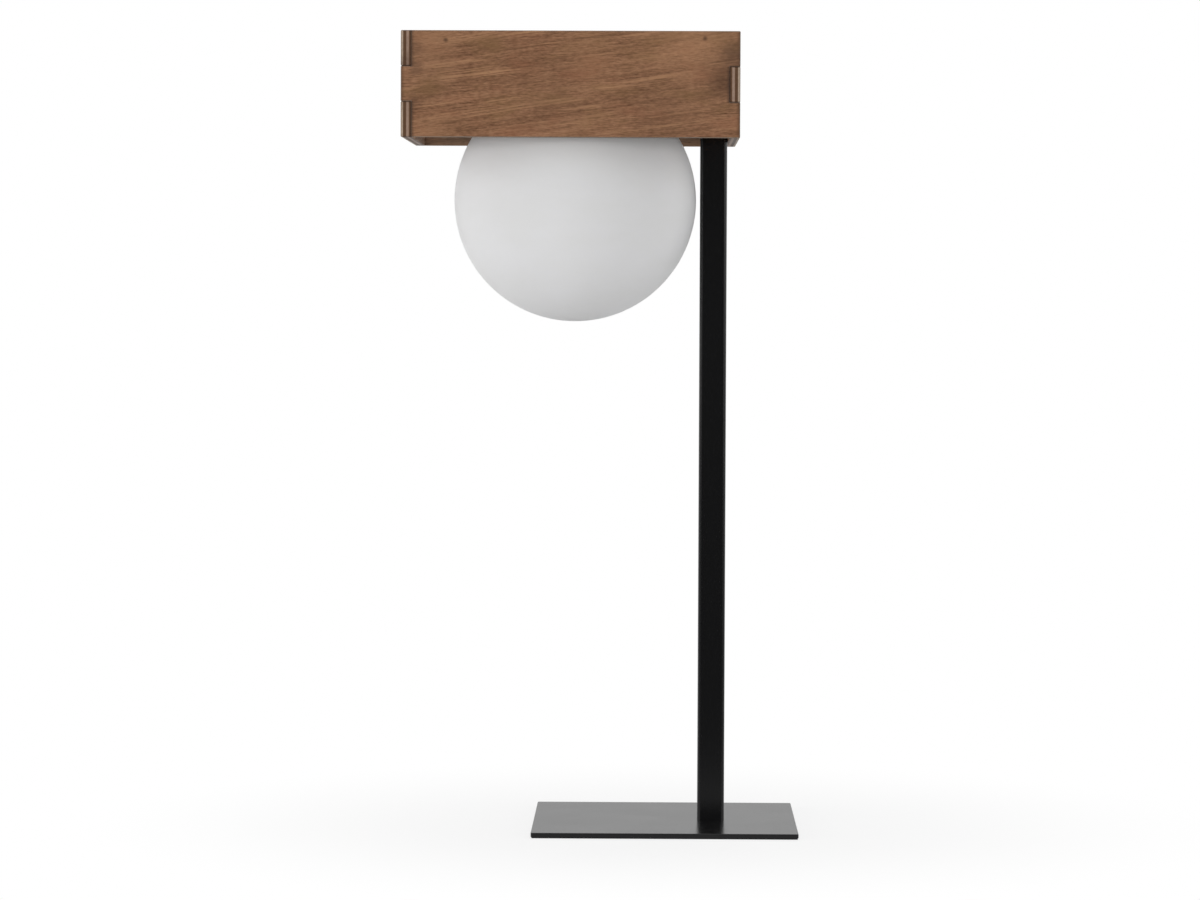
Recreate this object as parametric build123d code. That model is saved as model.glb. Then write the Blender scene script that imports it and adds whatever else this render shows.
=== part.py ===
"""Table lamp: an open plywood head on a square steel post, with an opal glass globe hung inside it.

Frame: millimetres, +X to the right towards the post, +Y to the back, +Z up. The origin is the middle
of the underside of the pad under the base plate, where the lamp stands on the table.
"""
from build123d import *
import os
from math import cos, pi, sin, sqrt

# Base plate and the pad glued under it
base_width = 195.0
base_depth = 195.0
base_thickness = 3.0
base_corner_radius = 1.5
base_edge_round = 0.5
pad_thickness = 1.0
pad_inset = 0.5
pad_hole_margin = 2.0

# Square tube post and the plugs pressed into its ends
lamp_height = 586.0
post_offset = 34.5
post_side = 20.0
post_wall = 1.5
post_corner_radius = 2.5
plug_corner_ease = 0.5
foot_plug_height = 25.0
head_plug_height = 15.0
foot_screw_radius = 2.5
foot_screw_length = 20.0
foot_screw_key = 3.0
foot_screw_key_depth = 1.5
pin_radius = 1.25
pin_reach = 6.0
pin_wall = 1.0

# Cord gland in the back of the post
gland_height = 44.5
gland_bore_radius = 3.3
gland_wall = 2.1
gland_lip = 0.8
gland_collar_length = 3.0
gland_flange_radius = 7.5
gland_flange_thickness = 2.0
gland_nose_length = 6.0
gland_nose_taper = 0.6

# Plywood frame, finger jointed at its corners
frame_height = 77.0
board_thickness = 7.5
board_edge_ease = 0.5
finger_count = 3
finger_gap = 0.15
left_space = 27.2
post_clearance = 0.3
globe_side_clearance = 1.0

# Head plate, lid panel and what holds the frame to them
panel_reveal = 1.0
panel_thickness = 4.0
panel_gap = 0.5
wiring_space = 13.0
head_plate_thickness = 2.0
head_plate_gap = 0.3
head_plate_corner = 3.0
block_side = 16.0
block_ease = 3.0
block_recess = 9.0
spacer_wall = 2.0
frame_screw_radius = 1.75
frame_screw_bite = 16.0
frame_screw_tip = 4.0
frame_screw_slot_width = 0.9
frame_screw_slot_length = 3.6
frame_screw_slot_depth = 1.3

# Hollow threaded nipples that hold the post and the lampholder to the head plate
nipple_radius = 5.0
nipple_bore_radius = 3.75
nipple_length = 20.0
nipple_stand = 6.0
nut_flats = 14.0
nut_height = 4.0
washer_radius = 9.0
washer_thickness = 0.8

# Opal glass globe, its screw cap and its gasket
globe_diameter = 180.0
globe_wall = 3.0
globe_post_gap = 3.0
neck_radius = 40.95
neck_wall = 3.0
neck_height = 17.4
neck_root_fillet = 2.5
rim_fillet = 0.8
gasket_thickness = 1.5
cap_wall = 1.5
cap_skirt = 15.5
cap_crown_fillet = 1.2
globe_pitch = 4.0
globe_thread_turns = 1.5
globe_thread_height = 1.3
globe_thread_root = 2.4
globe_thread_tip = 1.2
globe_thread_below_rim = 4.2
globe_thread_clearance = 0.6

# Screw lampholder
holder_wall = 2.0
insert_ledge = 2.3
holder_neck_radius = 8.0
holder_neck_height = 6.0
holder_cap_skirt = 9.0
holder_mouth_lip = 2.0
insert_thickness = 10.0
insert_rise = 4.0
shell_wall = 0.5
shell_length = 22.0
shell_flange = 2.4
shell_flange_thickness = 0.6
terminal_offset = 9.0
terminal_width = 6.0
terminal_depth = 5.0
terminal_height = 6.0
terminal_floor = 1.0
terminal_screw_radius = 1.3
terminal_screw_length = 3.0
contact_width = 6.0
contact_thickness = 0.5
contact_length = 9.0
contact_drop = 3.2

# Screw bulb
bulb_pitch = 3.629
bulb_thread_turns = 4.0
shell_thread_turns = 3.0
shell_thread_lag = 1.5
bulb_thread_radius = 13.2
bulb_thread_height = 1.0
bulb_thread_root = 1.9
bulb_thread_tip = 0.9
bulb_thread_clearance = 0.45
bulb_length = 108.0
bulb_diameter = 60.0
bulb_cap_length = 20.0
bulb_cap_wall = 0.6
bulb_cap_seat = 2.0
bulb_thread_below_top = 2.0
bulb_contact_radius = 4.5
bulb_contact_height = 1.5
bulb_contact_round = 0.75
bulb_contact_gap = 0.4
bulb_insulator_height = 3.5
bulb_wall = 1.8
bulb_shoulder = 0.8
led_board_thickness = 1.6

# Wiring inside the post and the head
wire_radius = 1.0
wire_bend = 3.5
wire_lid_gap = 2.5
wire_ring_radius = 2.5
nipple_wire_spread = 1.6
splice_radius = 2.1
splice_length = 18.0
splice_rise = 30.0
splice_bore_depth = 8.0
splice_core_radius = 1.3
lug_reach = 40.0
lug_ring_radius = 4.0
lug_thickness = 0.8
lug_wall = 0.7
lug_barrel_length = 7.0
lug_wire_grip = 4.0
lug_wire_fall = 8.0
earth_screw_radius = 2.0
earth_screw_length = 8.0
earth_head_radius = 3.8
earth_head_height = 2.6
earth_head_round = 0.85
earth_nut_flats = 7.0
earth_nut_height = 3.2

# Fit of a round piece in its hole, on the radius
fit_gap = 0.1

# Levels, from the table up
plate_bottom = pad_thickness
plate_top = plate_bottom + base_thickness
frame_bottom = lamp_height - frame_height
panel_top = lamp_height - panel_reveal
panel_bottom = panel_top - panel_thickness
head_top = panel_bottom - wiring_space
head_bottom = head_top - head_plate_thickness
cap_ceiling = head_bottom - cap_wall
rim_level = cap_ceiling - gasket_thickness
globe_radius = globe_diameter / 2
globe_level = rim_level - neck_height - sqrt(globe_radius**2 - neck_radius**2)
nipple_top = head_top + nipple_stand
nipple_bottom = nipple_top - nipple_length

# Places across the lamp
globe_place = post_offset - post_side / 2 - globe_post_gap - globe_radius
inner_right = post_offset + post_side / 2 + post_clearance
inner_left = globe_place - globe_radius - left_space
inner_back = globe_radius + globe_side_clearance
frame_right = inner_right + board_thickness
frame_left = inner_left - board_thickness
frame_back = inner_back + board_thickness
frame_middle = (inner_left + inner_right) / 2
inner_width = inner_right - inner_left
inner_depth = 2 * inner_back
post_inside = post_side - 2 * post_wall
post_inside_corner = post_corner_radius - post_wall
pin_offset = post_inside / 2 - pin_wall - pin_radius

# Radii of the bulb's thread, the shell round it and the lampholder round that
bulb_core_radius = bulb_thread_radius - bulb_thread_height
shell_inside = bulb_thread_radius + bulb_thread_clearance
shell_outside = shell_inside + shell_wall
holder_bore = shell_outside + shell_flange + fit_gap
holder_inside = holder_bore + insert_ledge
holder_radius = holder_inside + holder_wall

# Levels inside the lampholder, from its top down
dome_radius = holder_radius - holder_neck_radius
dome_level = cap_ceiling - holder_neck_height - dome_radius
holder_joint = dome_level - holder_cap_skirt
insert_top = holder_joint + insert_rise
insert_bottom = insert_top - insert_thickness
shell_bottom = insert_bottom - shell_length
holder_mouth = shell_bottom - holder_mouth_lip
terminal_top = insert_top + terminal_height
bulb_top = insert_bottom - contact_drop - contact_thickness - bulb_contact_gap
bulb_cap_top = bulb_top - bulb_contact_height - bulb_insulator_height
bulb_cap_bottom = bulb_cap_top - bulb_cap_length
bulb_radius = bulb_diameter / 2
bulb_center = bulb_top - bulb_length + bulb_radius
bulb_thread_start = bulb_cap_top - bulb_thread_below_top - bulb_pitch * bulb_thread_turns


def rod(radius, bottom, top):
    """Upright cylinder on the Z axis."""
    return Pos(0, 0, (bottom + top) / 2) * Cylinder(radius, top - bottom)


def tube(radius, bore, bottom, top):
    """Upright tube on the Z axis."""
    return rod(radius, bottom, top) - rod(bore, bottom, top)


def cone(lower_radius, upper_radius, bottom, top):
    """Upright cone or frustum on the Z axis."""
    return Pos(0, 0, (bottom + top) / 2) * Cone(lower_radius, upper_radius, top - bottom)


def hexagon(flats, bottom, top):
    """Upright hexagonal prism on the Z axis, by its width across flats."""
    face = RegularPolygon(flats / 2, 6, major_radius=False)
    return Pos(0, 0, bottom) * extrude(face, top - bottom)


def slab(width, depth, corner, bottom, top):
    """Flat plate with rounded corners, centred on the Z axis."""
    return Pos(0, 0, bottom) * extrude(RectangleRounded(width, depth, corner), top - bottom)


def block(low, high):
    """Box between two opposite corners."""
    size = [b - a for a, b in zip(low, high)]
    middle = [(a + b) / 2 for a, b in zip(low, high)]
    return Pos(*middle) * Box(*size)


def turned(*outline):
    """Solid of revolution about the Z axis from an outline of radius and level points."""
    return revolve(Plane.XZ * make_face(Polyline(*outline, close=True)), Axis.Z)


def thread_ridge(root_radius, tip_radius, root_width, tip_width, pitch, turns, start):
    """Right-hand helical ridge from a root radius out or in to a tip radius, sunk into its wall."""
    sink = (root_radius - tip_radius) / 4
    outline = [
        (root_radius + sink, -root_width / 2),
        (tip_radius, -tip_width / 2),
        (tip_radius, tip_width / 2),
        (root_radius + sink, root_width / 2),
    ]
    profile = Plane.XZ * make_face(Polyline(*outline, close=True))
    path = Helix(pitch, pitch * turns, root_radius)
    return Pos(0, 0, start) * sweep(profile, path=path, is_frenet=True)


def wire(*route):
    """Round wire along straight runs joined by tangent arcs."""
    path = FilletPolyline(*route, radius=wire_bend)
    return sweep(path.location_at(0) * Circle(wire_radius), path=path)


def on_post(shape):
    """Move a shape from the origin to the post's axis."""
    return Pos(post_offset, 0, 0) * shape


def on_globe(shape):
    """Move a shape from the origin to the globe's axis."""
    return Pos(globe_place, 0, 0) * shape


def on_pin(shape):
    """Move a shape from the origin to the axis of the locating pins."""
    return Pos(post_offset + pin_offset, pin_offset, 0) * shape


# Base plate, pad and the screw and pin that hold the post on it
foot_head_radius = 2 * foot_screw_radius
foot_head_height = foot_head_radius - foot_screw_radius


def base_pad():
    width = base_width - 2 * pad_inset
    depth = base_depth - 2 * pad_inset
    sheet = slab(width, depth, base_corner_radius, 0, pad_thickness)
    return sheet - on_post(rod(foot_head_radius + pad_hole_margin, 0, pad_thickness))


def base_plate():
    plate = slab(base_width, base_depth, base_corner_radius, plate_bottom, plate_top)
    plate = fillet(plate.edges().group_by(Axis.Z)[-1], base_edge_round)
    countersink = cone(foot_head_radius + fit_gap, foot_screw_radius + fit_gap,
                       plate_bottom, plate_bottom + foot_head_height)
    plate -= on_post(countersink)
    plate -= on_post(rod(foot_screw_radius + fit_gap, plate_bottom, plate_top))
    return plate - on_pin(rod(pin_radius + fit_gap, plate_bottom, plate_top))


def foot_screw():
    top = plate_bottom + foot_screw_length
    screw = rod(foot_screw_radius, plate_bottom, top)
    screw += cone(foot_head_radius, foot_screw_radius, plate_bottom, plate_bottom + foot_head_height)
    return on_post(screw - hexagon(foot_screw_key, plate_bottom, plate_bottom + foot_screw_key_depth))


def locating_pins():
    foot = rod(pin_radius, plate_bottom, plate_top + pin_reach)
    head = rod(pin_radius, head_bottom - pin_reach, head_top)
    return Compound([on_pin(foot), on_pin(head)])


# Post, its end plugs and the gland
gland_hole_radius = gland_bore_radius + gland_wall


def on_gland(shape):
    """Turn a shape from the Z axis to the gland's axis, out through the back of the post."""
    return Pos(post_offset, 0, gland_height) * Rot(-90, 0, 0) * shape


def post():
    outside = slab(post_side, post_side, post_corner_radius, plate_top, head_bottom)
    inside = slab(post_inside, post_inside, post_inside_corner, plate_top, head_bottom)
    hole = on_gland(rod(gland_hole_radius + fit_gap, 0, post_side))
    return on_post(outside - inside) - hole


def post_plug(bottom, top):
    """Square plug that fills the inside of the post between two levels."""
    return slab(post_inside, post_inside, post_inside_corner + plug_corner_ease, bottom, top)


def post_foot_plug():
    plug = post_plug(plate_top, plate_top + foot_plug_height)
    plug -= rod(foot_screw_radius + fit_gap, plate_top, plate_bottom + foot_screw_length)
    pin_hole = rod(pin_radius + fit_gap, plate_top, plate_top + pin_reach)
    return on_post(plug) - on_pin(pin_hole)


def post_head_plug():
    plug = post_plug(head_bottom - head_plug_height, head_bottom)
    plug -= rod(nipple_radius + fit_gap, head_bottom - head_plug_height, head_bottom)
    pin_hole = rod(pin_radius + fit_gap, head_bottom - pin_reach, head_bottom)
    return on_post(plug) - on_pin(pin_hole)


def cord_gland():
    outer_face = post_side / 2
    inner_face = outer_face - post_wall
    flange_face = outer_face + gland_flange_thickness
    nose_face = flange_face + gland_nose_length
    collar_face = inner_face - gland_collar_length
    gland = turned(
        (gland_bore_radius, collar_face),
        (gland_hole_radius, collar_face),
        (gland_hole_radius + gland_lip, inner_face),
        (gland_hole_radius, inner_face),
        (gland_hole_radius, outer_face),
        (gland_flange_radius, outer_face),
        (gland_flange_radius, flange_face),
        (gland_hole_radius, flange_face),
        (gland_hole_radius - gland_nose_taper, nose_face),
        (gland_bore_radius, nose_face),
    )
    return on_gland(gland)


# Plywood boards, each with fingers at both ends
def finger_board(length):
    """Board along +X from the origin, its outer face at Y 0, with odd fingers first and even ones last.

    The edges of its outer face and of its finger ends are eased, so that each joint shows as a fine groove.
    """
    finger = frame_height / finger_count
    board = block((board_thickness, 0, 0), (length - board_thickness, board_thickness, frame_height))
    for index in range(finger_count):
        bottom = index * finger + (finger_gap / 2 if index else 0)
        top = (index + 1) * finger - (finger_gap / 2 if index < finger_count - 1 else 0)
        start = 0 if index % 2 else length - board_thickness
        board += block((start, 0, bottom), (start + board_thickness, board_thickness, top))
    cut_faces = [board.faces().sort_by(Axis.Y)[0]]
    cut_faces += board.faces().group_by(Axis.X)[0] + board.faces().group_by(Axis.X)[-1]
    cut_edges = ShapeList(edge for face in cut_faces for edge in face.edges())
    return chamfer(set(cut_edges), board_edge_ease)


def frame_boards():
    """The four boards, each turned a quarter from the last round the frame."""
    width = frame_right - frame_left
    depth = 2 * frame_back
    corners = {
        "front_board": (frame_left, -frame_back, width),
        "right_board": (frame_right, -frame_back, depth),
        "back_board": (frame_right, frame_back, width),
        "left_board": (frame_left, frame_back, depth),
    }
    boards = {}
    for quarter, (name, (x, y, length)) in enumerate(corners.items()):
        boards[name] = Pos(x, y, frame_bottom) * Rot(0, 0, 90 * quarter) * finger_board(length)
    return boards


# Head plate, lid panel, corner blocks and their screws
screw_head_radius = 2 * frame_screw_radius
screw_head_height = screw_head_radius - frame_screw_radius
screw_inset = block_side / 2


def corner_places():
    """Axis of each corner block: X, Y and the quarter turn that faces it into its corner."""
    x_low = inner_left + screw_inset
    x_high = inner_right - screw_inset
    y_far = inner_back - screw_inset
    return [(x_low, -y_far, 0), (x_high, -y_far, 90), (x_high, y_far, 180), (x_low, y_far, 270)]


def at_corners(shape):
    """The shape at each of the four corner blocks, as separate solids."""
    return [Pos(x, y, 0) * Rot(0, 0, turn) * shape for x, y, turn in corner_places()]


def corner_blocks():
    half = block_side / 2
    stick = block((-half, -half, frame_bottom + block_recess), (half, half, head_bottom))
    inner_edge = stick.edges().filter_by(Axis.Z).sort_by(lambda edge: edge.center().X + edge.center().Y)[-1]
    stick = chamfer(inner_edge, block_ease)
    stick -= rod(frame_screw_radius + fit_gap, head_bottom - frame_screw_bite, head_bottom)
    return Compound(at_corners(stick))


def panel_spacers():
    bore = frame_screw_radius + fit_gap
    return Compound(at_corners(tube(bore + spacer_wall, bore, head_top, panel_bottom)))


def frame_screws():
    tip = head_bottom - frame_screw_bite
    screw = rod(frame_screw_radius, tip + frame_screw_tip, panel_top)
    screw += cone(0, frame_screw_radius, tip, tip + frame_screw_tip)
    screw += cone(frame_screw_radius, screw_head_radius, panel_top - screw_head_height, panel_top)
    half_width = frame_screw_slot_width / 2
    half_length = frame_screw_slot_length / 2
    slot_floor = panel_top - frame_screw_slot_depth
    for across, along in ((half_width, half_length), (half_length, half_width)):
        screw -= block((-across, -along, slot_floor), (across, along, panel_top))
    return Compound(at_corners(screw))


def top_panel():
    half_width = inner_width / 2 - panel_gap
    half_depth = inner_back - panel_gap
    panel = block((frame_middle - half_width, -half_depth, panel_bottom),
                  (frame_middle + half_width, half_depth, panel_top))
    hole = rod(frame_screw_radius + fit_gap, panel_bottom, panel_top)
    hole += cone(frame_screw_radius + fit_gap, screw_head_radius + fit_gap,
                 panel_top - screw_head_height, panel_top)
    for place in at_corners(hole):
        panel -= place
    return panel


def earth_place():
    """Axis of the earth screw on the head plate."""
    return Pos(post_offset + wire_places()["earth"][0], -lug_reach, 0)


def head_plate():
    width = inner_width - 2 * head_plate_gap
    depth = inner_depth - 2 * head_plate_gap
    plate = Pos(frame_middle, 0, 0) * slab(width, depth, head_plate_corner, head_bottom, head_top)
    nipple_hole = rod(nipple_radius + fit_gap, head_bottom, head_top)
    plate -= on_post(nipple_hole)
    plate -= on_globe(nipple_hole)
    plate -= on_pin(rod(pin_radius + fit_gap, head_bottom, head_top))
    plate -= earth_place() * rod(earth_screw_radius + fit_gap, head_bottom, head_top)
    for hole in at_corners(rod(frame_screw_radius + fit_gap, head_bottom, head_top)):
        plate -= hole
    return plate


# Hollow nipples with their nuts and washers, one pair over the post and one over the globe
def on_both(shape):
    return Compound([on_post(shape), on_globe(shape)])


def hollow_nipples():
    return on_both(tube(nipple_radius, nipple_bore_radius, nipple_bottom, nipple_top))


def nipple_nuts():
    bottom = head_top + washer_thickness
    top = bottom + nut_height
    return on_both(hexagon(nut_flats, bottom, top) - rod(nipple_radius + fit_gap, bottom, top))


def nipple_washers():
    return on_both(tube(washer_radius, nipple_radius + fit_gap, head_top, head_top + washer_thickness))


# Globe, its gasket and its screw cap
globe_thread_start = rim_level - globe_thread_below_rim - globe_pitch * globe_thread_turns
cap_inside = neck_radius + globe_thread_height + globe_thread_clearance


def glass_globe():
    rest = Pos(0, 0, globe_level)
    glass = rest * Sphere(globe_radius) + rod(neck_radius, globe_level, rim_level)
    neck_root = glass.edges().filter_by(GeomType.CIRCLE).sort_by(Axis.Z)[-2]
    glass = fillet(neck_root, neck_root_fillet)
    hollow = rest * Sphere(globe_radius - globe_wall) + rod(neck_radius - neck_wall, globe_level, rim_level)
    glass -= hollow
    rim_edges = glass.edges().filter_by(GeomType.CIRCLE).group_by(Axis.Z)[-1]
    glass = fillet(rim_edges, rim_fillet)
    ridge = thread_ridge(neck_radius, neck_radius + globe_thread_height, globe_thread_root,
                         globe_thread_tip, globe_pitch, globe_thread_turns, globe_thread_start)
    return on_globe(glass + ridge)


def globe_gasket():
    return on_globe(tube(neck_radius, neck_radius - neck_wall, rim_level, cap_ceiling))


def globe_cap():
    mouth = cap_ceiling - cap_skirt
    cup = rod(cap_inside + cap_wall, mouth, head_bottom)
    cup = fillet(cup.edges().group_by(Axis.Z)[-1], cap_crown_fillet)
    cup -= rod(cap_inside, mouth, cap_ceiling)
    cup -= rod(nipple_radius + fit_gap, cap_ceiling, head_bottom)
    ridge = thread_ridge(cap_inside, cap_inside - globe_thread_height, globe_thread_root,
                         globe_thread_tip, globe_pitch, globe_thread_turns,
                         globe_thread_start - globe_pitch / 2)
    return on_globe(cup + ridge)


# Lampholder: screw-on cap, body, insert with terminals, threaded shell and centre contact
def quarter_dome(radius, bottom):
    """Solid with a straight skirt from a level up to the dome, rounded in to the lampholder's neck."""
    outline = [
        Line((0, bottom), (holder_neck_radius + radius, bottom)),
        Line((holder_neck_radius + radius, bottom), (holder_neck_radius + radius, dome_level)),
        CenterArc((holder_neck_radius, dome_level), radius, 0, 90),
        Line((holder_neck_radius, dome_level + radius), (0, dome_level + radius)),
        Line((0, dome_level + radius), (0, bottom)),
    ]
    return revolve(Plane.XZ * make_face(outline), Axis.Z)


def lampholder_cap():
    cap = quarter_dome(dome_radius, holder_joint) + rod(holder_neck_radius, dome_level, cap_ceiling)
    cap -= quarter_dome(dome_radius - holder_wall, holder_joint)
    return on_globe(cap - rod(nipple_radius + fit_gap, dome_level, cap_ceiling))


def lampholder_body():
    body = turned(
        (holder_inside, holder_joint),
        (holder_radius, holder_joint),
        (holder_radius, holder_mouth),
        (shell_inside, holder_mouth),
        (shell_inside, shell_bottom),
        (holder_bore, shell_bottom),
        (holder_bore, insert_bottom),
        (holder_inside, insert_bottom),
    )
    return on_globe(body)


def lampholder_insert():
    return on_globe(rod(holder_inside - fit_gap, insert_bottom, insert_top))


def lampholder_shell():
    shell = tube(shell_outside, shell_inside, shell_bottom, insert_bottom)
    shell += tube(shell_outside + shell_flange, shell_inside,
                  insert_bottom - shell_flange_thickness, insert_bottom)
    start = bulb_thread_start + bulb_pitch * shell_thread_lag
    shell += thread_ridge(shell_inside, shell_inside - bulb_thread_height, bulb_thread_root,
                          bulb_thread_tip, bulb_pitch, shell_thread_turns, start)
    return on_globe(shell)


def lampholder_contact():
    """Springy leaf, flat under the insert and bent down to meet the bulb's tip."""
    seat = insert_bottom
    low = seat - contact_drop
    bend = contact_length / 3
    outline = [(-contact_length, seat), (-bend, seat), (bend, low), (2 * bend, low)]
    outline += [(x, z - contact_thickness) for x, z in reversed(outline)]
    leaf = extrude(Plane.XZ * make_face(Polyline(*outline, close=True)), contact_width / 2, both=True)
    return on_globe(leaf)


def at_terminals(shape):
    """The shape at both terminals, the second turned half round the globe's axis."""
    first = Pos(0, terminal_offset, 0) * shape
    return Compound([on_globe(first), on_globe(Rot(0, 0, 180) * first)])


def lampholder_terminals():
    half_width = terminal_width / 2
    half_depth = terminal_depth / 2
    clamp = block((-half_width, -half_depth, insert_top), (half_width, half_depth, terminal_top))
    clamp -= rod(wire_radius + fit_gap, insert_top + terminal_floor, terminal_top)
    screw_hole = rod(terminal_screw_radius + fit_gap, 0, half_width)
    return at_terminals(clamp - Pos(0, 0, insert_top + terminal_height / 2) * Rot(0, 90, 0) * screw_hole)


def terminal_screws():
    start = wire_radius + fit_gap
    screw = rod(terminal_screw_radius, start, start + terminal_screw_length)
    return at_terminals(Pos(0, 0, insert_top + terminal_height / 2) * Rot(0, 90, 0) * screw)


# Bulb: threaded cap, insulator, tip contact, housing, light board and diffuser
def bulb_cap():
    cap = tube(bulb_core_radius, bulb_core_radius - bulb_cap_wall, bulb_cap_bottom, bulb_cap_top)
    cap += thread_ridge(bulb_core_radius, bulb_thread_radius, bulb_thread_root, bulb_thread_tip,
                        bulb_pitch, bulb_thread_turns, bulb_thread_start)
    return on_globe(cap)


def bulb_insulator():
    return on_globe(cone(bulb_core_radius, bulb_contact_radius, bulb_cap_top,
                         bulb_cap_top + bulb_insulator_height))


def bulb_contact():
    tip = rod(bulb_contact_radius, bulb_top - bulb_contact_height, bulb_top)
    return on_globe(fillet(tip.edges().group_by(Axis.Z)[-1], bulb_contact_round))


def bulb_flank(inset):
    """Solid of the bulb's upper half, drawn in all over by an inset."""
    neck = bulb_core_radius + bulb_shoulder - inset
    belly = bulb_radius - inset
    outline = [
        TangentArc((belly, bulb_center), (neck, bulb_cap_bottom), tangent=(0, 1)),
        Line((neck, bulb_cap_bottom), (0, bulb_cap_bottom)),
        Line((0, bulb_cap_bottom), (0, bulb_center)),
        Line((0, bulb_center), (belly, bulb_center)),
    ]
    return revolve(Plane.XZ * make_face(outline), Axis.Z)


def bulb_body():
    collar = bulb_core_radius - bulb_cap_wall - fit_gap
    body = bulb_flank(0) + rod(collar, bulb_cap_bottom, bulb_cap_bottom + bulb_cap_seat)
    body -= bulb_flank(bulb_wall)
    return on_globe(body - rod(collar - bulb_wall, bulb_cap_bottom, bulb_cap_bottom + bulb_cap_seat))


def bulb_led_board():
    return on_globe(rod(bulb_radius - bulb_wall - fit_gap, bulb_center, bulb_center + led_board_thickness))


def bulb_diffuser():
    place = Pos(0, 0, bulb_center)
    dome = place * (Sphere(bulb_radius) - Sphere(bulb_radius - bulb_wall))
    return on_globe(dome - rod(bulb_diameter, bulb_center, bulb_center + bulb_diameter))


# Wiring: splices in the post, two wires to the lampholder and an earth wire to the head plate
splice_bottom = gland_height + splice_rise
splice_top = splice_bottom + splice_length
wire_level = panel_bottom - wire_lid_gap - wire_radius
wire_start = splice_top - splice_bore_depth
lug_barrel_radius = wire_radius + fit_gap + lug_wall
lug_level = head_top + lug_barrel_radius
barrel_start = -lug_reach + lug_ring_radius + lug_wall
barrel_end = barrel_start + lug_barrel_length


def wire_places():
    """Place of each wire beside the post's axis, evenly round a small ring."""
    names = ("live", "neutral", "earth")
    turns = [pi / 2 + 2 * pi * index / len(names) for index in range(len(names))]
    return {name: (wire_ring_radius * cos(turn), wire_ring_radius * sin(turn))
            for name, turn in zip(names, turns)}


def wire_splices():
    splice = rod(splice_radius, splice_bottom, splice_top)
    splice -= rod(wire_radius + fit_gap, wire_start, splice_top)
    splice -= rod(splice_core_radius, splice_bottom, splice_bottom + splice_bore_depth)
    return Compound([on_post(Pos(x, y, 0) * splice) for x, y in wire_places().values()])


def lamp_wire(name, side):
    """Wire up the post, over to the globe's axis and down to a terminal on one side."""
    x, y = wire_places()[name]
    drop = (nipple_bottom - terminal_top) / 4
    return wire(
        (post_offset + x, y, wire_start),
        (post_offset + x, y, wire_level),
        (globe_place, side * nipple_wire_spread, wire_level),
        (globe_place, side * nipple_wire_spread, nipple_bottom - drop),
        (globe_place, side * terminal_offset, terminal_top + drop),
        (globe_place, side * terminal_offset, insert_top + terminal_floor),
    )


def earth_wire():
    x, y = wire_places()["earth"]
    x += post_offset
    return wire(
        (x, y, wire_start),
        (x, y, wire_level),
        (x, barrel_end + 2 * lug_wire_fall, wire_level),
        (x, barrel_end + lug_wire_fall, lug_level),
        (x, barrel_end - lug_wire_grip, lug_level),
    )


def earth_lug():
    strap_top = head_top + lug_thickness
    ring = rod(lug_ring_radius, head_top, strap_top)
    barrel_place = Pos(0, lug_reach + barrel_start, lug_level) * Rot(-90, 0, 0)
    barrel = rod(lug_barrel_radius, 0, lug_barrel_length)
    strap_end = lug_reach + barrel_start + lug_wall
    strap = block((-lug_barrel_radius, 0, head_top), (lug_barrel_radius, strap_end, strap_top))
    lug = ring + strap + barrel_place * barrel
    lug -= barrel_place * rod(wire_radius + fit_gap, 0, lug_barrel_length)
    return earth_place() * (lug - rod(earth_screw_radius + fit_gap, head_top, strap_top))


def earth_screw():
    seat = head_top + lug_thickness
    head = rod(earth_head_radius, seat, seat + earth_head_height)
    head = fillet(head.edges().group_by(Axis.Z)[-1], earth_head_round)
    return earth_place() * (head + rod(earth_screw_radius, seat - earth_screw_length, seat))


def earth_nut():
    bottom = head_bottom - earth_nut_height
    nut = hexagon(earth_nut_flats, bottom, head_bottom)
    return earth_place() * (nut - rod(earth_screw_radius + fit_gap, bottom, head_bottom))


nodes = {
    "base_pad": base_pad(),
    "base_plate": base_plate(),
    "foot_screw": foot_screw(),
    "locating_pins": locating_pins(),
    "post": post(),
    "post_foot_plug": post_foot_plug(),
    "post_head_plug": post_head_plug(),
    "cord_gland": cord_gland(),
    **frame_boards(),
    "corner_blocks": corner_blocks(),
    "panel_spacers": panel_spacers(),
    "frame_screws": frame_screws(),
    "top_panel": top_panel(),
    "head_plate": head_plate(),
    "hollow_nipples": hollow_nipples(),
    "nipple_nuts": nipple_nuts(),
    "nipple_washers": nipple_washers(),
    "globe_cap": globe_cap(),
    "globe_gasket": globe_gasket(),
    "glass_globe": glass_globe(),
    "lampholder_cap": lampholder_cap(),
    "lampholder_body": lampholder_body(),
    "lampholder_insert": lampholder_insert(),
    "lampholder_shell": lampholder_shell(),
    "lampholder_contact": lampholder_contact(),
    "lampholder_terminals": lampholder_terminals(),
    "terminal_screws": terminal_screws(),
    "bulb_cap": bulb_cap(),
    "bulb_insulator": bulb_insulator(),
    "bulb_contact": bulb_contact(),
    "bulb_body": bulb_body(),
    "bulb_led_board": bulb_led_board(),
    "bulb_diffuser": bulb_diffuser(),
    "wire_splices": wire_splices(),
    "live_wire": lamp_wire("live", 1),
    "neutral_wire": lamp_wire("neutral", -1),
    "earth_wire": earth_wire(),
    "earth_lug": earth_lug(),
    "earth_screw": earth_screw(),
    "earth_nut": earth_nut(),
}

os.makedirs("parts", exist_ok=True)
for name, shape in nodes.items():
    export_step(shape, f"parts/{name}.step")
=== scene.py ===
from math import pi

import bpy
from mathutils import Matrix, Vector


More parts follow.
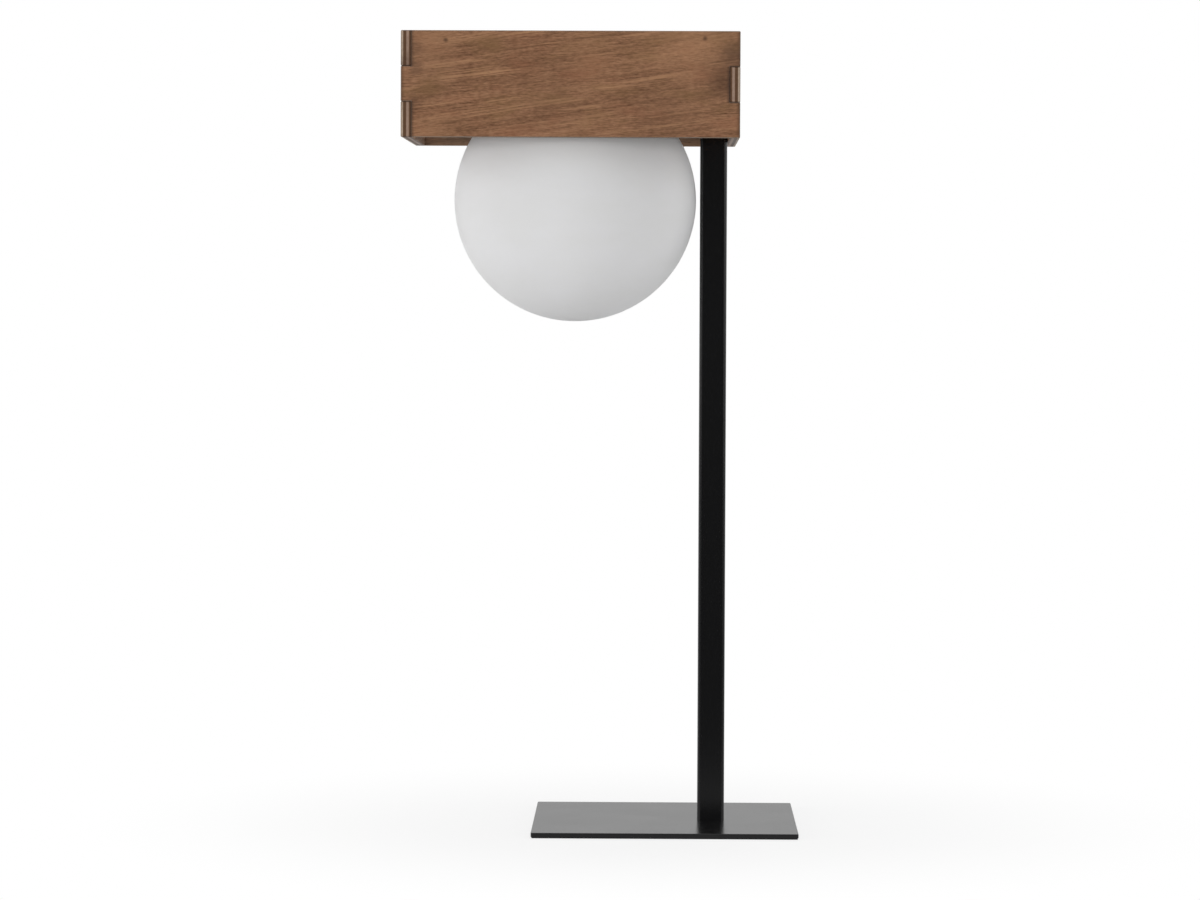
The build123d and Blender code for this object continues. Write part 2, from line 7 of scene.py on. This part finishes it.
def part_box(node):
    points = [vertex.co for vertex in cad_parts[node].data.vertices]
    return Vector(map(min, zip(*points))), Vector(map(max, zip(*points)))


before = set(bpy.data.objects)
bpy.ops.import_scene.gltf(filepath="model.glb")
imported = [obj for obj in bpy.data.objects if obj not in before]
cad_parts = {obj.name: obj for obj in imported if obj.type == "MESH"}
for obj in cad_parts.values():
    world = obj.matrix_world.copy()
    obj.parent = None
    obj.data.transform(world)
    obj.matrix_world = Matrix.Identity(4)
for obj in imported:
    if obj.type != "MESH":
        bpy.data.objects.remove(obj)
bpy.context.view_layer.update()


# Pad under the base plate: a sheet of black closed-cell foam rubber, cut square and glued to the steel.
# It keeps the steel off the table top and stops the lamp from sliding.
def tint(red, green, blue):
    """Colour of a paint chart, from 0 to 255, as the linear colour that a shader takes."""
    shares = [level / 255 for level in (red, green, blue)]
    return [s / 12.92 if s < 0.04045 else ((s + 0.055) / 1.055) ** 2.4 for s in shares] + [1.0]


def surface(name, **values):
    """New material, with some of its shader's sockets set, such as Roughness=0.5."""
    material = bpy.data.materials.new(name)
    material.use_nodes = True
    sockets = material.node_tree.nodes["Principled BSDF"].inputs
    for socket, value in values.items():
        sockets[socket.replace("_", " ")].default_value = value
    return material


def put(material, kind, *feeds, **settings):
    """Add a shader node. Each feed goes to the next input: a value, or the output of another node."""
    added = material.node_tree.nodes.new("ShaderNode" + kind)
    for name, value in settings.items():
        setattr(added, name, value)
    for socket, feed in zip(added.inputs, feeds):
        if isinstance(feed, bpy.types.NodeSocket):
            material.node_tree.links.new(feed, socket)
        elif feed is not None:
            socket.default_value = feed
    return added


def place_on(material):
    """Object coordinates, in metres."""
    return put(material, "TexCoord").outputs["Object"]


def blend(material, amount, first, second):
    """Mix of two colours, by an amount from 0 to 1."""
    unused = [None] * 5
    mixed = put(material, "Mix", amount, *unused, first, second, data_type="RGBA")
    return mixed.outputs[2]


def feed(material, socket, output):
    """Let a pattern set one of the shader's sockets."""
    material.node_tree.links.new(output, material.node_tree.nodes["Principled BSDF"].inputs[socket])


def relief(material, height, depth):
    """Let a pattern from 0 to 1 raise the surface by a depth in metres."""
    bump = put(material, "Bump")
    bump.inputs["Distance"].default_value = depth
    material.node_tree.links.new(height, bump.inputs["Height"])
    feed(material, "Normal", bump.outputs[0])


def dress(material, *nodes):
    """Give CAD nodes a finish."""
    for node in nodes:
        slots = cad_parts[node].data.materials
        slots.clear()
        slots.append(material)


foam_black = tint(30, 30, 31)
foam_grey = tint(52, 52, 53)
cell_size = 0.0007
cell_depth = 0.0002

foam = surface("foam rubber", Roughness=0.9)
cells = put(foam, "TexVoronoi", place_on(foam), None, 1 / cell_size).outputs["Distance"]
feed(foam, "Base Color", blend(foam, cells, foam_black, foam_grey))
relief(foam, cells, cell_depth)
dress(foam, "base_pad")


# Base plate, post, head plate and globe cap: mild steel, cut and welded or spun, then sprayed with black
# powder and baked. The coat is satin, with the faint grain that powder leaves as it melts.
def calc(material, operation, *values):
    """Arithmetic on values or outputs."""
    return put(material, "Math", *values, operation=operation).outputs[0]


def ease(material, value, low, high, start=0.0, end=1.0):
    """Smooth step from start to end, while the value goes from low to high."""
    step = put(material, "MapRange", value, low, high, start, end, interpolation_type="SMOOTHSTEP")
    return step.outputs[0]


def mottle(material, place, size, detail=2.0, seed=0.0):
    """Cloudy pattern from 0 to 1. The size of its patches is along X, Y and Z, in metres."""
    scale = [1 / length for length in size]
    spread = put(material, "Mapping", place, None, None, scale).outputs[0]
    crispness = 0.55
    cloud = put(material, "TexNoise", spread, seed, 1.0, detail, crispness, noise_dimensions="4D")
    return cloud.outputs[0]


coat_black = tint(11, 11, 12)
coat_worn = tint(18, 18, 19)
powder_size = (0.0005, 0.0005, 0.0005)
orange_peel_size = (0.004, 0.004, 0.004)
powder_depth = 0.00002
handled_size = (0.05, 0.05, 0.05)
coat_satin = (0.205, 0.22)

coat = surface("black powder coat", IOR=1.5, Specular_IOR_Level=0.6)
place = place_on(coat)
powder = mottle(coat, place, powder_size)
orange_peel = mottle(coat, place, orange_peel_size)
handled = mottle(coat, place, handled_size, 4.0)
feed(coat, "Base Color", blend(coat, ease(coat, powder, 0.45, 0.75), coat_black, coat_worn))
feed(coat, "Roughness", ease(coat, handled, 0.3, 0.7, *coat_satin))
relief(coat, calc(coat, "ADD", powder, orange_peel), powder_depth)
dress(coat, "base_plate", "post", "head_plate", "globe_cap")


# Hidden fixings: foot screw, locating pins, plugs pressed into the post, spacers, nipples, nuts, washers
# and screws. All are turned or stamped steel with a bright zinc plate that has dulled in patches.
dull_patch_size = (0.006, 0.006, 0.006)
turning_size = (0.004, 0.004, 0.0002)
turning_depth = 0.00001


def metal(name, bright, dull, low_roughness, high_roughness):
    """Plated or bare metal with fine turning marks and dull patches."""
    material = surface(name, Metallic=1.0)
    place = place_on(material)
    patches = mottle(material, place, dull_patch_size, 4.0)
    marks = mottle(material, place, turning_size)
    feed(material, "Base Color", blend(material, patches, bright, dull))
    feed(material, "Roughness", ease(material, patches, 0.3, 0.7, low_roughness, high_roughness))
    relief(material, marks, turning_depth)
    return material


zinc = metal("zinc plate", tint(214, 214, 210), tint(170, 171, 170), 0.22, 0.45)
dress(zinc, "foot_screw", "locating_pins", "post_foot_plug", "post_head_plug", "panel_spacers")
dress(zinc, "frame_screws", "hollow_nipples", "nipple_nuts", "nipple_washers", "terminal_screws")
dress(zinc, "earth_screw", "earth_nut")


# Cord gland: one moulding in black nylon that snaps into the hole in the back of the post.
# Its skin has the fine grain of the mould and slight marks where the plastic flowed in.
flow_size = (0.012, 0.012, 0.012)
grain_size = (0.0004, 0.0004, 0.0004)


def moulding(name, colour, pale, roughness, grain_depth=0.00003):
    """Moulded plastic or ceramic, with its grain and flow marks."""
    material = surface(name, Roughness=roughness)
    place = place_on(material)
    flow = mottle(material, place, flow_size, 3.0)
    grain = mottle(material, place, grain_size)
    feed(material, "Base Color", blend(material, ease(material, flow, 0.3, 0.7), colour, pale))
    relief(material, grain, grain_depth)
    return material


nylon = moulding("black nylon", tint(22, 22, 23), tint(32, 32, 33), 0.5)
dress(nylon, "cord_gland")


# Frame boards: plywood, laser cut with fingers at both ends, glued at the corners and stained brown.
# The grain runs along each board, and the stain is thinner inside. The laser has charred the cut plies.
board_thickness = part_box("left_board")[1].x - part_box("left_board")[0].x
finger_count = 3
ply_edges = (0.0017, 0.0040, 0.0059)
ply_blur = 0.0002
grain_sway = 0.006
sway_size = (0.13, 0.05, 0.05)
pore_size = (0.006, 0.003, 0.0008)
line_size = (0.30, 0.03, 0.0050)
line_count = 6.0
fading_size = (0.08, 0.03, 0.007)
hue_size = (0.05, 0.05, 0.02)
end_grain_size = (0.003, 0.0003, 0.003)
veneer_depth = 0.0001
open_roughness = 0.62
sealed_roughness = 0.5
square_on = 0.9

# How much of its colour each part of the wood lays over the veneer or the cut edge
hue_share = 0.5
inside_share = 0.45
streak_share = 0.75
pore_share = 0.45
fleck_share = 0.3
eased_share = 0.55

# Clouds, growth bands and streaks of the figure, then long and short fibres: size, and share of the tone
figure_layers = (
    ((0.080, 0.060, 0.032), 0.80),
    ((0.160, 0.030, 0.0080), 0.85),
    ((0.070, 0.010, 0.0020), 0.90),
)
fibre_layers = (
    ((0.014, 0.004, 0.0010), 1.10),
    ((0.004, 0.003, 0.0010), 1.50),
)

wood_dark = tint(84, 53, 31)
wood_pale = tint(170, 125, 93)
wood_red = tint(138, 90, 64)
wood_olive = tint(124, 93, 58)
wood_streak = tint(180, 135, 99)
wood_bare = tint(190, 160, 136)
wood_pore = tint(70, 46, 30)
ply_pale = tint(178, 158, 139)
ply_core = tint(156, 130, 113)
ply_dark = tint(92, 65, 44)
char_brown = tint(56, 40, 32)


def plywood(name, corner, turn, seed, slope):
    """Stained plywood, the place on it and its flat faces. The corner and turn bring its length to X."""
    wood = surface(name, IOR=1.45)
    spot = put(wood, "TexCoord").outputs
    board = put(wood, "Mapping", spot["Object"], corner, turn, vector_type="TEXTURE").outputs[0]
    normal = put(wood, "Mapping", spot["Normal"], None, turn, vector_type="TEXTURE").outputs[0]
    along, depth, rise = put(wood, "SeparateXYZ", board).outputs
    facing = put(wood, "VectorMath", normal, operation="ABSOLUTE").outputs[0]
    facing_end, facing_out, facing_up = put(wood, "SeparateXYZ", facing).outputs

    # Veneer: fibres nearly along the board, and a figure that climbs across them and sways a little
    sway = mottle(wood, board, sway_size, 2.0, seed)
    level = calc(wood, "MULTIPLY_ADD", sway, grain_sway, rise)
    tone = 0.5
    grains = []
    for climb, layers in ((slope, figure_layers), (slope / 4, fibre_layers)):
        height = calc(wood, "MULTIPLY_ADD", along, -climb, level)
        grains.append(put(wood, "CombineXYZ", along, depth, height).outputs[0])
        for size, share in layers:
            layer = calc(wood, "SUBTRACT", mottle(wood, grains[-1], size, 3.0, seed), 0.5)
            tone = calc(wood, "MULTIPLY_ADD", layer, share, tone)

    # Dark pores along the fibres, fading pale lines along the figure, and patches of hue
    figure, fibre = grains
    pores = ease(wood, mottle(wood, fibre, pore_size, 1.0, seed + 2), 0.60, 0.74)
    lines = mottle(wood, figure, line_size, 2.0, seed + 1)
    lines = calc(wood, "PINGPONG", calc(wood, "MULTIPLY", lines, line_count), 1.0)
    fading = ease(wood, mottle(wood, figure, fading_size, 2.0, seed + 2), 0.45, 0.65)
    streaks = calc(wood, "MULTIPLY", ease(wood, lines, 0.7, 1.0), fading)
    inside = ease(wood, depth, ply_edges[-1], board_thickness)
    hues = mottle(wood, board, hue_size, 3.0, seed + 1)
    face = blend(wood, tone, wood_dark, wood_pale)
    face = blend(wood, ease(wood, hues, 0.5, 0.7, 0.0, hue_share), face, wood_red)
    face = blend(wood, ease(wood, hues, 0.5, 0.3, 0.0, hue_share), face, wood_olive)
    face = blend(wood, calc(wood, "MULTIPLY", inside, inside_share), face, wood_bare)
    face = blend(wood, calc(wood, "MULTIPLY", streaks, streak_share), face, wood_streak)
    face = blend(wood, calc(wood, "MULTIPLY", pores, pore_share), face, wood_pore)

    # Cut edges: pale and dark plies in turn, from the outside in, and char where an edge is eased
    # Past the last ply edge the cut stays dark: partly the inner veneer, partly painted shade along the
    # joint with the next board
    plies = 0.0
    for edge, operation in zip(ply_edges, ("ADD", "SUBTRACT", "ADD")):
        step = ease(wood, depth, edge - ply_blur, edge + ply_blur)
        plies = calc(wood, operation, plies, step)
    pale = blend(wood, ease(wood, depth, ply_edges[0], ply_edges[1]), ply_pale, ply_core)
    cut = blend(wood, plies, pale, ply_dark)
    flecks = mottle(wood, board, end_grain_size, 3.0, seed)
    cut = blend(wood, ease(wood, flecks, 0.4, 0.7, 0.0, fleck_share), cut, ply_dark)
    flat = calc(wood, "GREATER_THAN", facing_out, square_on)
    square = calc(wood, "MAXIMUM", calc(wood, "MAXIMUM", facing_end, facing_out), facing_up)
    eased = calc(wood, "LESS_THAN", square, square_on)
    cut = blend(wood, calc(wood, "MULTIPLY", eased, eased_share), cut, char_brown)

    feed(wood, "Base Color", blend(wood, flat, cut, face))
    feed(wood, "Roughness", ease(wood, tone, 0.2, 0.8, open_roughness, sealed_roughness))
    relief(wood, calc(wood, "SUBTRACT", tone, pores), veneer_depth)
    return wood, board, flat


def lay_colour(wood, amount, colour):
    """Lay another colour over the wood, by an amount from 0 to 1."""
    socket = wood.node_tree.nodes["Principled BSDF"].inputs["Base Color"]
    bare = socket.links[0].from_socket
    feed(wood, "Base Color", blend(wood, amount, bare, colour))


frame_low = Vector(map(min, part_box("front_board")[0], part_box("left_board")[0]))
frame_high = Vector(map(max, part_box("back_board")[1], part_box("right_board")[1]))
frame_width = frame_high.x - frame_low.x
frame_depth = frame_high.y - frame_low.y
finger_height = (frame_high.z - frame_low.z) / finger_count
soot_reach = 0.003
stain_reach = 0.020
soak_height = 1.7 * finger_height
end_shade_reach = 0.0035
uneven_size = (0.006, 0.006, 0.003)
stain_and_shade_share = 0.65
soot_share = 0.7

board_cuts = {
    "front_board": ((frame_low.x, frame_low.y), frame_width, 0.14),
    "right_board": ((frame_high.x, frame_low.y), frame_depth, -0.05),
    "back_board": ((frame_high.x, frame_high.y), frame_width, 0.08),
    "left_board": ((frame_low.x, frame_high.y), frame_depth, -0.10),
}
stained = {}
for quarter, (node, (corner, length, slope)) in enumerate(board_cuts.items()):
    turn = (0, 0, quarter * pi / 2)
    seed = 3.0 * quarter + 1.0
    wood, board, flat = plywood("stained plywood " + node, (*corner, frame_low.z), turn, seed, slope)
    along, _, rise = put(wood, "SeparateXYZ", board).outputs

    # Soot from the laser beside the notches, stain that has soaked in along the last notch, and painted
    # shade on the face towards both ends of the board
    finger = calc(wood, "FLOOR", calc(wood, "DIVIDE", rise, finger_height))
    odd = calc(wood, "MODULO", finger, 2.0)
    even = calc(wood, "SUBTRACT", 1.0, odd)
    last = length - board_thickness
    uneven = mottle(wood, board, uneven_size, 3.0, seed)
    soot = calc(wood, "MULTIPLY", even, ease(wood, along, board_thickness + soot_reach, board_thickness))
    far_soot = calc(wood, "MULTIPLY", odd, ease(wood, along, last - soot_reach, last))
    soot = calc(wood, "MAXIMUM", soot, far_soot)
    notch = (last, 0.0, soak_height)
    gap = put(wood, "VectorMath", board, notch, operation="DISTANCE").outputs["Value"]
    gap = calc(wood, "MULTIPLY_ADD", uneven, stain_reach, gap)
    soaked = ease(wood, gap, 2.0 * stain_reach, 0.6 * stain_reach)
    # Painted shade: the face darkens within a few millimetres of both ends of the board, where the eased
    # ends fall in shade
    end_shade = ease(wood, along, length - end_shade_reach, length)
    end_shade = calc(wood, "MAXIMUM", end_shade, ease(wood, along, end_shade_reach, 0.0))
    end_shade = calc(wood, "MULTIPLY", end_shade, flat)
    lay_colour(wood, calc(wood, "MULTIPLY", soaked, stain_and_shade_share), wood_pore)
    # Painted shade along both ends of the face, in the pore colour
    lay_colour(wood, calc(wood, "MULTIPLY", end_shade, stain_and_shade_share), wood_pore)
    lay_colour(wood, calc(wood, "MULTIPLY", soot, soot_share), char_brown)
    dress(wood, node)
    stained[node] = wood, board

# Front veneer: four paler areas of sapwood, three of darker heartwood, smudges of soot beside the fingers,
# and two pin knots near its top edge. Each patch has its middle, reach, depth of colour and colour.
front_patches = (
    ((0.2080, 0.0, 0.0780), 0.0540, 0.35, wood_streak),
    ((0.1380, 0.0, 0.0600), 0.0320, 0.24, wood_streak),
    ((0.0220, 0.0, 0.0670), 0.0300, 0.28, wood_streak),
    ((0.0240, 0.0, 0.0020), 0.0230, 0.26, wood_streak),
    ((0.1900, 0.0, 0.0150), 0.0550, 0.24, wood_pore),
    ((0.1120, 0.0, 0.0220), 0.0500, 0.17, wood_pore),
    ((0.0250, 0.0, 0.0480), 0.0360, 0.18, wood_pore),
    ((0.0105, 0.0, 0.0640), 0.0100, 0.30, char_brown),
    ((0.0100, 0.0, 0.0500), 0.0090, 0.40, char_brown),
    ((0.0090, 0.0, 0.0240), 0.0080, 0.30, char_brown),
    ((0.2400, 0.0, 0.0620), 0.0140, 0.40, char_brown),
    ((0.0324, 0.0, 0.0700), 0.0027, 0.80, wood_pore),
    ((0.2198, 0.0, 0.0716), 0.0027, 0.80, wood_pore),
)
ragged_size = (0.010, 0.004, 0.0015)
wood, board = stained["front_board"]
ragged = calc(wood, "SUBTRACT", mottle(wood, board, ragged_size, 3.0), 0.5)
for middle, reach, share, colour in front_patches:
    gap = put(wood, "VectorMath", board, middle, operation="DISTANCE").outputs["Value"]
    gap = calc(wood, "MULTIPLY_ADD", ragged, reach, gap)
    lay_colour(wood, ease(wood, gap, reach, 0.0, 0.0, share), colour)


# Lid panel: thinner plywood of the same stain, laid in the top of the frame, a millimetre below its rim.
# Four countersunk screws hold it down through the spacers and the head plate.
lid_low, lid_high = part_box("top_panel")
lid_corner = (lid_low.x, lid_low.y, lid_high.z)
lid_turn = (-pi / 2, 0, 0)
lid_seed = 17.0
lid_slope = 0.02
dress(plywood("stained plywood lid", lid_corner, lid_turn, lid_seed, lid_slope)[0], "top_panel")


# Corner blocks: four sawn beech sticks, glued upright into the corners of the frame.
# The screws from the lid bite into their end grain.
beech_pale = tint(205, 172, 132)
beech_dark = tint(178, 140, 101)
ring_size = (0.003, 0.003, 0.12)
ray_size = (0.0004, 0.0004, 0.003)
ray_share = 0.5
saw_depth = 0.0001

beech = surface("sawn beech", Roughness=0.65)
place = place_on(beech)
rings = mottle(beech, place, ring_size, 3.0)
ray_flecks = ease(beech, mottle(beech, place, ray_size, 1.0), 0.6, 0.72)
sawn = blend(beech, ease(beech, rings, 0.3, 0.7), beech_pale, beech_dark)
feed(beech, "Base Color", blend(beech, calc(beech, "MULTIPLY", ray_flecks, ray_share), sawn, wood_dark))
relief(beech, calc(beech, "SUBTRACT", rings, ray_flecks), saw_depth)
dress(beech, "corner_blocks")


# Globe: blown opal glass with a rolled screw neck, etched matt on the outside, screwed up into its cap.
# A ring of white silicone lies between its rim and the cap.
opal_white = tint(229, 229, 230)
opal_dull = tint(227, 227, 227)
wall_scatter = 0.003
even_scatter = (1, 1, 1)
cord_size = (0.05, 0.05, 0.02)
etch_size = (0.0003, 0.0003, 0.0003)
etch_depth = 0.00001
etch_roughness = (0.46, 0.52)

opal = surface("etched opal glass", IOR=1.5, Subsurface_Weight=0.3, Subsurface_Scale=wall_scatter)
opal.node_tree.nodes["Principled BSDF"].inputs["Subsurface Radius"].default_value = even_scatter
place = place_on(opal)
cords = mottle(opal, place, cord_size, 3.0)
etch = mottle(opal, place, etch_size)
feed(opal, "Base Color", blend(opal, ease(opal, cords, 0.3, 0.7), opal_white, opal_dull))
feed(opal, "Roughness", ease(opal, cords, 0.3, 0.7, *etch_roughness))
relief(opal, etch, etch_depth)
dress(opal, "glass_globe")

silicone = moulding("white silicone", tint(225, 225, 221), tint(214, 214, 208), 0.55)
dress(silicone, "globe_gasket")


# Lampholder: black cap and body, a white steatite insert with two brass terminals, and the brass shell
# and centre contact that take the bulb. It hangs from the head plate on a hollow nipple.
holder = moulding("holder plastic", tint(26, 26, 27), tint(36, 36, 37), 0.42)
dress(holder, "lampholder_cap", "lampholder_body")

steatite = moulding("white steatite", tint(230, 228, 220), tint(218, 214, 202), 0.3, 0.00006)
dress(steatite, "lampholder_insert")

brass = metal("bright brass", tint(225, 190, 118), tint(190, 150, 84), 0.2, 0.38)
dress(brass, "lampholder_shell", "lampholder_contact", "lampholder_terminals", "bulb_contact")


# Bulb: drawn aluminium screw cap with a black glass insulator, a white plastic housing, a light board
# with a white mask, and a frosted diffuser snapped over it. It screws into the lampholder's shell.
aluminium = metal("drawn aluminium", tint(220, 220, 221), tint(186, 187, 189), 0.25, 0.42)
dress(aluminium, "bulb_cap")

black_glass = moulding("black glass", tint(16, 16, 17), tint(24, 24, 25), 0.12, 0.00001)
dress(black_glass, "bulb_insulator")

bulb_white = moulding("bulb housing", tint(232, 232, 229), tint(224, 224, 220), 0.35)
dress(bulb_white, "bulb_body", "bulb_diffuser")

solder_mask = moulding("white solder mask", tint(228, 228, 224), tint(214, 215, 212), 0.25, 0.00004)
dress(solder_mask, "bulb_led_board")


# Wiring: silicone insulated wires from the splices in the post to the lampholder and to the earth lug.
# The earth wire is green with a yellow stripe along it.
dress(moulding("natural nylon", tint(212, 204, 182), tint(200, 190, 166), 0.4), "wire_splices")
dress(moulding("brown insulation", tint(92, 56, 38), tint(84, 50, 33), 0.4), "live_wire")
dress(moulding("blue insulation", tint(44, 84, 160), tint(38, 75, 148), 0.4), "neutral_wire")

earth_green = tint(82, 150, 60)
earth_yellow = tint(222, 196, 62)
earth_low, earth_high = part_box("earth_wire")
earth_middle = (earth_low.x + earth_high.x) / 2

striped = moulding("green and yellow insulation", earth_green, earth_green, 0.4)
across = put(striped, "SeparateXYZ", place_on(striped)).outputs["X"]
stripe = calc(striped, "GREATER_THAN", across, earth_middle)
feed(striped, "Base Color", blend(striped, stripe, earth_green, earth_yellow))
dress(striped, "earth_wire")
dress(metal("tinned copper", tint(205, 202, 196), tint(176, 172, 164), 0.28, 0.45), "earth_lug")


# Table top: a pale plain floor that keeps the lamp's soft shadow and fades to white away from it.
# Seen from below it is clear, so that the underside of the lamp shows.
floor_size = 30.0
floor_drop = 0.0002
floor_pale = tint(250, 250, 250)
floor_bounce = tint(228, 228, 228)
shadow_start = 0.12
shadow_end = 0.45
shadow_white = 0.78
dim_room = 0.075
bright_room = 0.66
room_front = -0.5
room_back = 0.17

bpy.ops.object.select_all(action="DESELECT")
bpy.ops.mesh.primitive_plane_add(size=floor_size, location=(0, 0, -floor_drop))
floor = bpy.context.object
floor.name = "floor"
table = surface("pale floor", Roughness=0.9, Specular_IOR_Level=0.0)
place = place_on(table)
rays = put(table, "LightPath").outputs
feed(table, "Base Color", blend(table, rays["Is Camera Ray"], floor_bounce, floor_pale))
mirrored = calc(table, "MAXIMUM", rays["Is Glossy Ray"], rays["Is Transmission Ray"])
reach = put(table, "VectorMath", place, operation="LENGTH").outputs["Value"]
fade = ease(table, reach, shadow_start, shadow_end, shadow_white, 1.0)
white = calc(table, "MAXIMUM", calc(table, "MULTIPLY", rays["Is Camera Ray"], fade), mirrored)
away = put(table, "SeparateXYZ", place).outputs["Y"]
room = ease(table, away, room_front, room_back, dim_room, bright_room)
level = calc(table, "MAXIMUM", room, rays["Is Camera Ray"])
glow = put(table, "Emission", (1, 1, 1, 1), level).outputs[0]
lit = table.node_tree.nodes["Principled BSDF"].outputs[0]
top_side = put(table, "MixShader", white, lit, glow).outputs[0]
clear = put(table, "BsdfTransparent").outputs[0]
under = put(table, "NewGeometry").outputs["Backfacing"]
both_sides = put(table, "MixShader", under, top_side, clear).outputs[0]
table.node_tree.links.new(both_sides, table.node_tree.nodes["Material Output"].inputs["Surface"])
floor.data.materials.append(table)


# Studio: white all round for the eye. What the gloss shows is a room with white sides, a grey back wall and
# a dark end behind the camera. Fill light comes evenly from all round, and four softboxes give the shade.
fill = 0.3
front_end = (-0.98, -0.85)
back_wall = (0.6, 0.95)

studio = bpy.data.worlds.new("studio")
studio.use_nodes = True
bpy.context.scene.world = studio
rays = put(studio, "LightPath").outputs
away = put(studio, "SeparateXYZ", put(studio, "TexCoord").outputs["Generated"]).outputs["Y"]
room = ease(studio, away, *front_end, dim_room, 1.0)
room = calc(studio, "MULTIPLY", room, ease(studio, away, *back_wall, 1.0, bright_room))
mirrored = calc(studio, "MAXIMUM", rays["Is Glossy Ray"], rays["Is Transmission Ray"])
level = put(studio, "MapRange", mirrored, 0.0, 1.0, fill, room).outputs[0]
level = put(studio, "MapRange", rays["Is Camera Ray"], 0.0, 1.0, level, 1.0).outputs[0]
studio.node_tree.links.new(level, studio.node_tree.nodes["Background"].inputs["Strength"])
studio.node_tree.nodes["Background"].inputs["Color"].default_value = (1, 1, 1, 1)

lamp_middle = Vector((-0.04, 0.0, 0.40))


def softbox(name, place, width, height, power):
    """Rectangular area lamp that faces the middle of the lamp, and that gloss doesn't show."""
    light = bpy.data.lights.new(name, "AREA")
    light.shape = "RECTANGLE"
    light.size = width
    light.size_y = height
    light.energy = power
    lamp = bpy.data.objects.new(name, light)
    lamp.visible_glossy = False
    lamp.location = place
    lamp.rotation_euler = (lamp_middle - Vector(place)).to_track_quat("-Z", "Y").to_euler()
    bpy.context.collection.objects.link(lamp)


softbox("left softbox", (-2.53, -1.57, 0.47), 2.0, 0.9, 45.0)
softbox("right softbox", (2.35, -1.75, 0.47), 1.9, 0.9, 31.0)
softbox("top softbox", (-0.2, 0.3, 2.8), 1.6, 1.6, 15.0)
softbox("back softbox", (0.4, 2.2, 1.9), 1.6, 1.2, 26.0)


# Camera: far off with a long lens, level with the lower half of the globe, tipped down a little.
# Its place, turn and lens are fitted to the edges of the frame, globe, post and base.
camera_place = (-0.00782, -3.26549, 0.39907)
camera_turn = 0.01270
camera_dip = 0.03665
camera_roll = 0.00402
camera_lens = 131.20

camera = bpy.data.objects.new("camera", bpy.data.cameras.new("camera"))
bpy.context.collection.objects.link(camera)
camera.data.lens = camera_lens
pan = Matrix.Rotation(camera_turn, 4, "Z")
tilt = Matrix.Rotation(pi / 2 - camera_dip, 4, "X")
roll = Matrix.Rotation(camera_roll, 4, "Z")
camera.matrix_world = Matrix.Translation(camera_place) @ pan @ tilt @ roll
bpy.context.scene.camera = camera
bpy.context.scene.view_settings.view_transform = "Standard"
